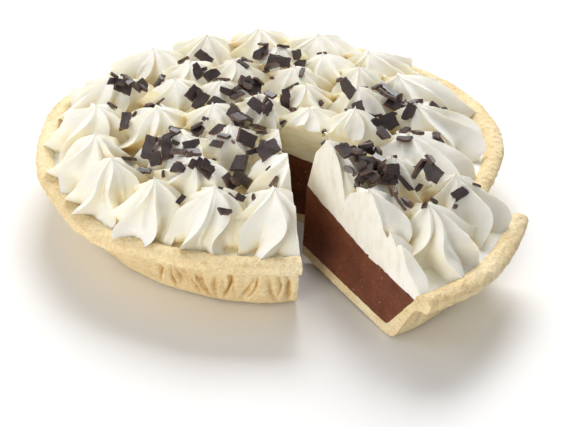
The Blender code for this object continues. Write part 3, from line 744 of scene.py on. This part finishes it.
def tip_trimmer():
    """What crumbled off the cream at the slice's point: a block behind a plane that leans outward."""
    foot = CUT_POINT + Vector((0, 0, TIP_FOOT))
    head = foot + Vector((0, 0, TIP_RISE)) + OUTWARD * TIP_RETREAT
    points = []
    for edge in (foot, head):
        for side in (-1, 1):
            points.append(edge + ACROSS * side * TRIMMER_HALF)
    for edge in (foot, head):
        for side in (-1, 1):
            points.append(edge + ACROSS * side * TRIMMER_HALF - OUTWARD * TRIMMER_DEPTH)
    faces = [(0, 1, 3, 2), (5, 4, 6, 7), (0, 4, 5, 1), (2, 3, 7, 6), (0, 2, 6, 4), (1, 5, 7, 3)]
    return make_object("trimmer", points, faces)


def lip_keeper():
    """What the cream mustn't sink into: the crust, as a plain body."""
    rings = [Ring(0.1010, 0.0270), Ring(0.1190, 0.0270), Ring(0.1190, 0.0320)]
    rings += [*CRUST_RINGS[9 : INNER_EDGE + 1], Ring(0.1010, 0.0280)]
    rows = []
    for radius, height, rim, _, _ in rings:
        row = []
        for k in range(LAYER_AROUND):
            azimuth = math.tau * k / LAYER_AROUND
            reach = radius + rim * rim_wave(azimuth)
            z = height + rim * rim_lift(azimuth) - 0.0002
            row.append((reach * math.cos(azimuth), reach * math.sin(azimuth), z))
        rows.append(row)
    return turned("lip", rows, through=True)


def cream_body(rosettes):
    """The bed of cream with every rosette joined to it."""
    body = bed_body()
    for rosette in rosettes:
        drop = make_object("drop", *rosette.mesh())
        combine(body, "UNION", drop)
        drop_object(drop)
    lip = lip_keeper()
    combine(body, "DIFFERENCE", lip)
    drop_object(lip)
    return body


def surface_of(thing):
    graph = bpy.context.evaluated_depsgraph_get()
    return BVHTree.FromObject(thing, graph)


def mark_painted_occlusion(thing, reach):
    """Stores at each point how shut in it is by the surface around it, from 0 to 1, which the
    materials turn into painted shade.
    """
    tree = surface_of(thing)
    mesh = thing.data
    golden = math.pi * (3 - math.sqrt(5))
    rays = []
    for k in range(SHADE_RAYS):
        z = 1 - (k + 0.5) / SHADE_RAYS * SHADE_SPREAD
        ring = math.sqrt(1 - z * z)
        rays.append(Vector((ring * math.cos(golden * k), ring * math.sin(golden * k), z)))
    values = np.zeros(len(mesh.vertices), np.float32)
    for k, vertex in enumerate(mesh.vertices):
        normal = vertex.normal
        turn = Vector((0, 0, 1)).rotation_difference(normal)
        start = vertex.co + normal * 0.0002
        hits = 0
        for ray in rays:
            if tree.ray_cast(start, turn @ ray, reach)[0] is not None:
                hits += 1
        values[k] = hits / len(rays)
    # The attribute that the cream's and the crust's colours darken by, as painted shade in their
    # hollows.
    attribute = mesh.attributes.new("painted_occlusion", "FLOAT", "POINT")
    attribute.data.foreach_set("value", values)


def flake_outline(rng, length, width):
    """A broken sliver: a rough four-sided piece, often with one corner snapped off."""
    corners = []
    for along, across in ((-1, -1), (1, -1), (1, 1), (-1, 1)):
        x = 0.5 * length * along * rng.uniform(0.7, 1.0)
        y = 0.5 * width * across * rng.uniform(0.6, 1.0)
        corners.append(Vector((x, y)))
    if rng.random() < SNAPPED_SHARE:
        snapped = rng.randrange(4)
        corner = corners[snapped]
        before = corner.lerp(corners[snapped - 1], rng.uniform(0.25, 0.5))
        after = corner.lerp(corners[(snapped + 1) % 4], rng.uniform(0.25, 0.5))
        corners[snapped : snapped + 1] = [before, after]
    return corners


def fallen_flakes():
    """Every flake as its place, outline, heading and the tilt that it landed with."""
    rng = random.Random(FLAKE_SEED)
    flakes = []
    for x, y, length, width, heading, tilt in LARGE_FLAKES:
        outline = flake_outline(rng, length, width)
        flakes.append((x, y, outline, math.radians(heading), math.radians(tilt)))
    for cluster in FLAKE_CLUSTERS:
        for _ in range(cluster.count):
            x = rng.gauss(cluster.x, cluster.spread)
            y = rng.gauss(cluster.y, cluster.spread)
            length = rng.uniform(*FLAKE_LENGTHS)
            width = length * rng.uniform(0.35, 0.8)
            outline = flake_outline(rng, length, width)
            heading = rng.uniform(0, math.tau)
            tilt = rng.uniform(0, 0.6)
            flakes.append((x, y, outline, heading, tilt))
    return flakes


def in_slice(point):
    """1 in the slice's wedge, 0 in the main pie, and None near a cut."""
    sides = []
    for azimuth in (LEFT_CUT, LEFT_CUT + GAP_ANGLE, LEFT_CUT + SLICE_ANGLE):
        direction = Vector((math.cos(azimuth), math.sin(azimuth)))
        sides.append(direction.cross(point - CUT_POINT.xy))
    if sides[0] > 0 and sides[2] < 0:
        return 1
    if sides[0] < 0 or sides[1] > 0:
        return 0
    return None


def ragged(outline, rng):
    """The outline with its edges broken unevenly."""
    found = []
    for k, corner in enumerate(outline):
        following = outline[(k + 1) % len(outline)]
        edge = following - corner
        steps = max(1, round(edge.length / EDGE_STEP))
        across = Vector((-edge.y, edge.x)).normalized()
        for step in range(steps):
            stray = 0 if step == 0 else rng.uniform(-BROKEN_EDGE, BROKEN_EDGE)
            found.append(corner + edge * (step / steps) + across * stray)
    return found


def drop_onto(layers, x, y):
    """The highest point of several surfaces under a place, or None."""
    best = None
    for tree, middle, reach in layers:
        if middle is not None and math.hypot(x - middle.x, y - middle.y) > reach:
            continue
        hit = tree.ray_cast(Vector((x, y, 0.2)), Vector((0, 0, -1)))[0]
        if hit is not None and (best is None or hit.z > best):
            best = hit.z
    return best


def lay_flake(flake, layers, rng):
    """A flake's corners, lower face first, where it came to rest, or None."""
    x, y, outline, heading, tilt = flake
    turn = Matrix.Rotation(heading, 2)
    spots = [turn @ corner + Vector((x, y)) for corner in outline]
    heights = [drop_onto(layers, spot.x, spot.y) for spot in spots]
    if any(height is None for height in heights):
        return None
    table = np.array([(spot.x - x, spot.y - y, 1.0) for spot in spots])
    slope = np.linalg.lstsq(table, np.array(heights), rcond=None)[0]
    steep = math.hypot(slope[0], slope[1])
    ease = min(1.0, FLAKE_STEEPEST / steep) if steep > 0 else 1.0
    up = Vector((-slope[0] * ease, -slope[1] * ease, 1)).normalized()
    along = Vector((math.cos(heading), math.sin(heading), 0))
    across = up.cross(along).normalized()
    along = across.cross(up)
    up = Matrix.Rotation(tilt, 3, along) @ up
    across = up.cross(along)
    thickness = FLAKE_THICKNESS * rng.uniform(0.75, 1.25)
    bend = rng.uniform(-FLAKE_BEND, FLAKE_BEND)
    lower, upper = [], []
    for corner in outline:
        lift = up * bend * corner.x * corner.x
        flat = along * corner.x + across * corner.y
        lower.append(flat + lift)
        upper.append(flat * FLAKE_TAPER + lift + up * thickness)
    needed = []
    for point in lower + [Vector((0, 0, 0))]:
        height = drop_onto(layers, x + point.x, y + point.y)
        if height is not None:
            needed.append(height - point.z)
    middle = Vector((x, y, max(needed) - FLAKE_SINK))
    return [middle + point for point in lower + upper]


def build_flakes(surfaces):
    """The flakes of the main pie and of the slice: points, faces, and the faces round the rims."""
    rng = random.Random(EXTRA_SEED)
    groups = {0: ([], [], []), 1: ([], [], [])}
    layers = [[(surface, None, 0)] for surface in surfaces]
    flakes = fallen_flakes()
    heaps = [(heap, round(heap.count * EXTRA_FLAKES), SMALL_LENGTHS) for heap in FLAKE_CLUSTERS]
    heaps += [(heap, heap.count, FLAKE_LENGTHS) for heap in SLICE_HEAPS]
    for cluster, count, lengths in heaps:
        for _ in range(count):
            x = rng.gauss(cluster.x, cluster.spread * EXTRA_SPREAD)
            y = rng.gauss(cluster.y, cluster.spread * EXTRA_SPREAD)
            length = rng.uniform(*lengths)
            outline = flake_outline(rng, length, length * rng.uniform(0.35, 1.0))
            flakes.append((x, y, outline, rng.uniform(0, math.tau), rng.uniform(0, 0.7)))
    for flake in flakes:
        side = in_slice(Vector(flake[:2]))
        if side is None:
            continue
        outline = ragged(flake[2], rng)
        corners = lay_flake((*flake[:2], outline, *flake[3:]), layers[side], rng)
        if corners is None or any(in_slice(corner.xy) != side for corner in corners):
            continue
        if max(corner.z for corner in corners) > FLAKE_CEILING:
            continue
        count = len(outline)
        faces = [tuple(reversed(range(count))), tuple(range(count, 2 * count))]
        rims = [(k, (k + 1) % count, count + (k + 1) % count, count + k) for k in range(count)]
        points, flat, rim = groups[side]
        base = len(points)
        points.extend(corners)
        flat.extend(tuple(base + k for k in face) for face in faces)
        rim.extend(tuple(base + k for k in face) for face in rims)
        reach = max((corner - corners[0]).length for corner in corners)
        layers[side].append((BVHTree.FromPolygons(corners, faces + rims), corners[0], reach))
    return groups


def material(name):
    made = bpy.data.materials.new(name)
    made.use_nodes = True
    return made, made.node_tree.nodes, made.node_tree.links, made.node_tree.nodes["Principled BSDF"]


def node(nodes, kind, **settings):
    made = nodes.new(kind)
    for key, value in settings.items():
        if key in made.inputs:
            made.inputs[key].default_value = value
        else:
            setattr(made, key, value)
    return made


def noise_node(nodes, links, scale, detail=3.0, roughness=0.55, stretch=None):
    place = nodes.new("ShaderNodeTexCoord")
    source = place.outputs["Object"]
    if stretch:
        mapping = nodes.new("ShaderNodeMapping")
        mapping.inputs["Scale"].default_value = stretch
        links.new(source, mapping.inputs["Vector"])
        source = mapping.outputs["Vector"]
    made = node(nodes, "ShaderNodeTexNoise", Scale=scale, Detail=detail, Roughness=roughness)
    links.new(source, made.inputs["Vector"])
    return made


def ramp(nodes, links, source, stops):
    made = nodes.new("ShaderNodeValToRGB")
    elements = made.color_ramp.elements
    while len(elements) < len(stops):
        elements.new(0.5)
    for element, (position, colour) in zip(elements, stops):
        element.position = position
        element.color = (*colour, 1.0)
    links.new(source, made.inputs["Fac"])
    return made


def mix(nodes, links, factor, one, two, blend="MIX"):
    made = nodes.new("ShaderNodeMix")
    made.data_type = "RGBA"
    made.blend_type = blend
    if isinstance(factor, float):
        made.inputs[0].default_value = factor
    else:
        links.new(factor, made.inputs[0])
    for socket, value in ((6, one), (7, two)):
        if isinstance(value, tuple):
            made.inputs[socket].default_value = (*value, 1.0)
        else:
            links.new(value, made.inputs[socket])
    return made.outputs[2]


def bump(nodes, links, surface, layers, distance):
    """Adds relief from several (source, strength) pairs, one on another."""
    previous = None
    for source, strength in layers:
        made = node(nodes, "ShaderNodeBump", Strength=strength, Distance=distance)
        links.new(source, made.inputs["Height"])
        if previous:
            links.new(previous, made.inputs["Normal"])
        previous = made.outputs["Normal"]
    links.new(previous, surface.inputs["Normal"])


def set_surface(surface, roughness, specular, weight=0.0, colour=(1.0, 1.0, 1.0), depth=0.0):
    """How rough and how shiny a surface is, and how light scatters under it."""
    surface.inputs["Roughness"].default_value = roughness
    surface.inputs["Specular IOR Level"].default_value = specular
    if weight:
        surface.inputs["Subsurface Weight"].default_value = weight
        surface.inputs["Subsurface Radius"].default_value = colour
        surface.inputs["Subsurface Scale"].default_value = depth


def cream_material():
    made, nodes, links, surface = material("whipped_cream")
    # Painted shade: the cream turns darker and yellower where the surface around it shuts it in.
    painted_occlusion = node(nodes, "ShaderNodeAttribute", attribute_name="painted_occlusion")
    hollow_shade = ramp(nodes, links, painted_occlusion.outputs["Fac"], CREAM_HOLLOW_SHADE)
    cloud = noise_node(nodes, links, 60.0)
    shade = ramp(nodes, links, cloud.outputs["Fac"], CREAM_CLOUD)
    colour = mix(nodes, links, 1.0, hollow_shade.outputs["Color"], shade.outputs["Color"], "MULTIPLY")
    links.new(colour, surface.inputs["Base Color"])
    set_surface(surface, 0.42, 0.4, 0.35, (1.0, 0.75, 0.42), 0.004)
    fine = noise_node(nodes, links, 900.0, 2.0)
    soft = noise_node(nodes, links, 260.0, 2.0)
    bump(nodes, links, surface, [(fine.outputs["Fac"], 0.10), (soft.outputs["Fac"], 0.18)], 0.0004)
    return made


def cut_cream_material(name, stops, stretch):
    made, nodes, links, surface = material(name)
    drag = noise_node(nodes, links, 230.0, 4.0, 0.6, stretch)
    colour = ramp(nodes, links, drag.outputs["Fac"], stops)
    links.new(colour.outputs["Color"], surface.inputs["Base Color"])
    set_surface(surface, 0.6, 0.3, 0.25, (1.0, 0.75, 0.42), 0.003)
    fine = noise_node(nodes, links, 1300.0, 3.0)
    bump(nodes, links, surface, [(fine.outputs["Fac"], 0.35), (drag.outputs["Fac"], 0.45)], 0.0006)
    return made


def filling_material():
    made, nodes, links, surface = material("chocolate_filling")
    cloud = noise_node(nodes, links, 90.0, 4.0)
    colour = ramp(nodes, links, cloud.outputs["Fac"], CHOCOLATE)
    specks = node(nodes, "ShaderNodeTexVoronoi", Scale=330.0)
    place = nodes.new("ShaderNodeTexCoord")
    links.new(place.outputs["Object"], specks.inputs["Vector"])
    pale = ramp(nodes, links, specks.outputs["Distance"], [(0.10, (1, 1, 1)), (0.24, (0, 0, 0))])
    rare = noise_node(nodes, links, 160.0, 1.0)
    seldom = ramp(nodes, links, rare.outputs["Fac"], [(0.60, (0, 0, 0)), (0.66, (1, 1, 1))])
    mask = mix(nodes, links, 1.0, pale.outputs["Color"], seldom.outputs["Color"], "MULTIPLY")
    crumb = noise_node(nodes, links, 1100.0, 2.0, 0.6)
    grain = ramp(nodes, links, crumb.outputs["Fac"],
                 [(0.32, (0.66, 0.62, 0.60)), (0.66, (1.0, 1.0, 1.0))])
    rough = mix(nodes, links, 0.8, colour.outputs["Color"], grain.outputs["Color"], "MULTIPLY")
    final = mix(nodes, links, mask, rough, (0.42, 0.24, 0.15))
    links.new(final, surface.inputs["Base Color"])
    set_surface(surface, 0.55, 0.15, 0.08, (1.0, 0.4, 0.25), 0.002)
    fine = noise_node(nodes, links, 1300.0, 3.0)
    pits = noise_node(nodes, links, 480.0, 2.0)
    bump(nodes, links, surface, [(fine.outputs["Fac"], 0.55), (pits.outputs["Fac"], 0.8)], 0.0008)
    return made


def pastry_material(name, stops):
    made, nodes, links, surface = material(name)
    broad = noise_node(nodes, links, 26.0, 3.0)
    grain = noise_node(nodes, links, 420.0, 5.0, 0.7)
    streak = noise_node(nodes, links, 150.0, 5.0, 0.65, (1.0, 1.0, 3.2))
    colour = ramp(nodes, links, broad.outputs["Fac"], stops)
    toast = ramp(nodes, links, streak.outputs["Fac"],
                 [(0.30, (0.80, 0.66, 0.48)), (0.48, (0.97, 0.95, 0.91)), (0.7, (1.0, 1.0, 1.0))])
    pores = ramp(nodes, links, grain.outputs["Fac"],
                 [(0.30, (0.72, 0.60, 0.46)), (0.44, (0.98, 0.97, 0.95)), (0.7, (1.0, 1.0, 1.0))])
    warm = mix(nodes, links, 0.65, colour.outputs["Color"], toast.outputs["Color"], "MULTIPLY")
    grainy = mix(nodes, links, 0.6, warm, pores.outputs["Color"], "MULTIPLY")
    # Painted shade: the pastry darkens towards brown where the surface shuts it in, under the lip and
    # in the creases.
    painted_occlusion = node(nodes, "ShaderNodeAttribute", attribute_name="painted_occlusion")
    depth = ramp(nodes, links, painted_occlusion.outputs["Fac"],
                 [(0.20, (1.0, 1.0, 1.0)), (0.55, (0.90, 0.82, 0.67)), (0.85, (0.66, 0.53, 0.37))])
    shaded = mix(nodes, links, 1.0, grainy, depth.outputs["Color"], "MULTIPLY")
    crumb = noise_node(nodes, links, 1000.0, 2.0, 0.6)
    specks = ramp(nodes, links, crumb.outputs["Fac"],
                  [(0.36, (0.80, 0.62, 0.46)), (0.46, (1.0, 1.0, 1.0)), (0.8, (1.0, 1.0, 1.0))])
    final = mix(nodes, links, 0.55, shaded, specks.outputs["Color"], "MULTIPLY")
    links.new(final, surface.inputs["Base Color"])
    set_surface(surface, 0.72, 0.3, 0.1, (1.0, 0.6, 0.3), 0.002)
    fine = noise_node(nodes, links, 1300.0, 4.0, 0.7)
    bump(nodes, links, surface, [(fine.outputs["Fac"], 0.35), (grain.outputs["Fac"], 0.6)], 0.0005)
    return made


def flake_material(name, colours, roughness):
    made, nodes, links, surface = material(name)
    cloud = noise_node(nodes, links, 190.0, 4.0)
    colour = ramp(nodes, links, cloud.outputs["Fac"], colours)
    links.new(colour.outputs["Color"], surface.inputs["Base Color"])
    set_surface(surface, roughness, 0.5)
    fine = noise_node(nodes, links, 1400.0, 3.0)
    bump(nodes, links, surface, [(fine.outputs["Fac"], 0.25), (cloud.outputs["Fac"], 0.2)], 0.0004)
    return made


def dress(thing, materials, nodes):
    for made in materials:
        thing.data.materials.append(made)
    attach(thing, "root")
    if nodes:
        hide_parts(*nodes)


def aim(thing, location, target):
    """Puts a camera or a light in its place and points it."""
    thing.location = location
    toward = Vector(target) - Vector(location)
    thing.rotation_euler = toward.to_track_quat("-Z", "Y").to_euler()


def add_light(name, location, target, size, energy, colour=(1, 1, 1)):
    light = bpy.data.lights.new(name, "AREA")
    light.shape = "SQUARE"
    light.size = size
    light.energy = energy
    light.color = colour
    lamp = bpy.data.objects.new(name, light)
    bpy.context.scene.collection.objects.link(lamp)
    aim(lamp, location, target)


def set_stage():
    floor = make_object("floor", [(-6, -6, 0), (6, -6, 0), (6, 6, 0), (-6, 6, 0)], [(0, 1, 2, 3)])
    made, _, _, surface = material("floor")
    surface.inputs["Base Color"].default_value = (0.86, 0.86, 0.86, 1)
    set_surface(surface, 0.5, 0.2)
    floor.data.materials.append(made)

    world = bpy.data.worlds.new("studio")
    world.use_nodes = True
    world.node_tree.nodes["Background"].inputs["Color"].default_value = (1, 1, 1, 1)
    world.node_tree.nodes["Background"].inputs["Strength"].default_value = 0.42
    bpy.context.scene.world = world
    add_light("key", (0.08, 0.85, 1.0), (0, 0, 0), 0.8, 18.3)
    add_light("left", (-1.0, -0.1, 0.8), (0, 0, 0), 0.8, 2.2)
    add_light("front", (-0.66, -1.00, 0.24), (0, 0, 0.02), 0.6, 6.9, (1.0, 0.96, 0.89))

    camera_data = bpy.data.cameras.new("camera")
    camera_data.sensor_width = 36.0
    camera_data.lens = 88.42
    camera_data.clip_start = 0.05
    camera_data.clip_end = 20.0
    camera = bpy.data.objects.new("camera", camera_data)
    bpy.context.scene.collection.objects.link(camera)
    aim(camera, (0.008087, -0.6065, 0.3705), (0.00805, -0.0171, 0.0))
    bpy.context.scene.camera = camera
    bpy.context.scene.view_settings.view_transform = "Standard"


def main():
    set_stage()
    pose = slice_pose()
    pastry = [pastry_material("pastry", BAKED_PASTRY), pastry_material("cut_pastry", CUT_PASTRY)]
    chocolate = [filling_material()] * 2
    smooth = cream_material()
    # The main pie's cut face is a darker, warmer copy of the sliced cream: painted shade of the gap,
    # with streaks of the knife's drag.
    shaded_dragged = cut_cream_material("shaded_dragged_cream", SHADED_DRAGGED_CREAM, (0.4, 0.4, 1.6))
    sliced = cut_cream_material("sliced_cream", SLICED_CREAM, (1.0, 1.0, 0.45))
    cream = ([smooth, shaded_dragged], [smooth, sliced])
    flake_face = flake_material("flake_face", FLAKE_FACE, 0.28)
    flake_edge = flake_material("flake_edge", FLAKE_EDGE, 0.55)

    names = ("crust_main", "crust_slice")
    crusts = split(crust_body(1.0), names, CRUST_TEAR, crust_body(0.0))
    fillings = split(filling_body(), ("filling_main", "filling_slice"), FILLING_TEAR)
    rosettes = make_rosettes()
    bodies = [cream_body(rosettes), cream_body(as_on_slice(rosettes))]
    surfaces = [surface_of(body) for body in bodies]
    creams = split(bodies[0], ("cream_main", "cream_slice"), CREAM_TEAR, bodies[1])
    trimmer = tip_trimmer()
    combine(creams[1], "DIFFERENCE", trimmer)
    drop_object(trimmer)
    for pieces, tear in ((crusts, CRUST_TEAR), (fillings, FILLING_TEAR), (creams, CREAM_TEAR)):
        mark_cut_faces(pieces[0], GAP_ANGLE, tear)
        mark_cut_faces(pieces[1], SLICE_ANGLE, tear)
    nodes = sorted(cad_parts)
    for side, prefix in ((0, "pie_"), (1, "slice_")):
        finish_surface(crusts[side])
        mark_painted_occlusion(crusts[side], CRUST_SHADE_REACH)
        dress(crusts[side], pastry, [prefix + "crust"])
        finish_surface(fillings[side])
        dress(fillings[side], chocolate, [prefix + "chocolate"])
        finish_surface(creams[side], 62)
        mark_painted_occlusion(creams[side], CREAM_SHADE_REACH)
        start = "rosette_" if side == 0 else "slice_rosette_"
        drops = [name for name in nodes if name.startswith(start)]
        dress(creams[side], cream[side], [prefix + "cream"] + drops)
    for side, (points, faces, sides) in build_flakes(surfaces).items():
        name = ("flakes_main", "flakes_slice")[side]
        flakes = make_object(name, points, faces + sides)
        indices = [0] * len(faces) + [1] * len(sides)
        flakes.data.polygons.foreach_set("material_index", indices)
        dress(flakes, [flake_face, flake_edge], [])
        if side == 1:
            flakes.data.transform(pose)
    for thing in (crusts[1], fillings[1], creams[1]):
        thing.data.transform(pose)


main()
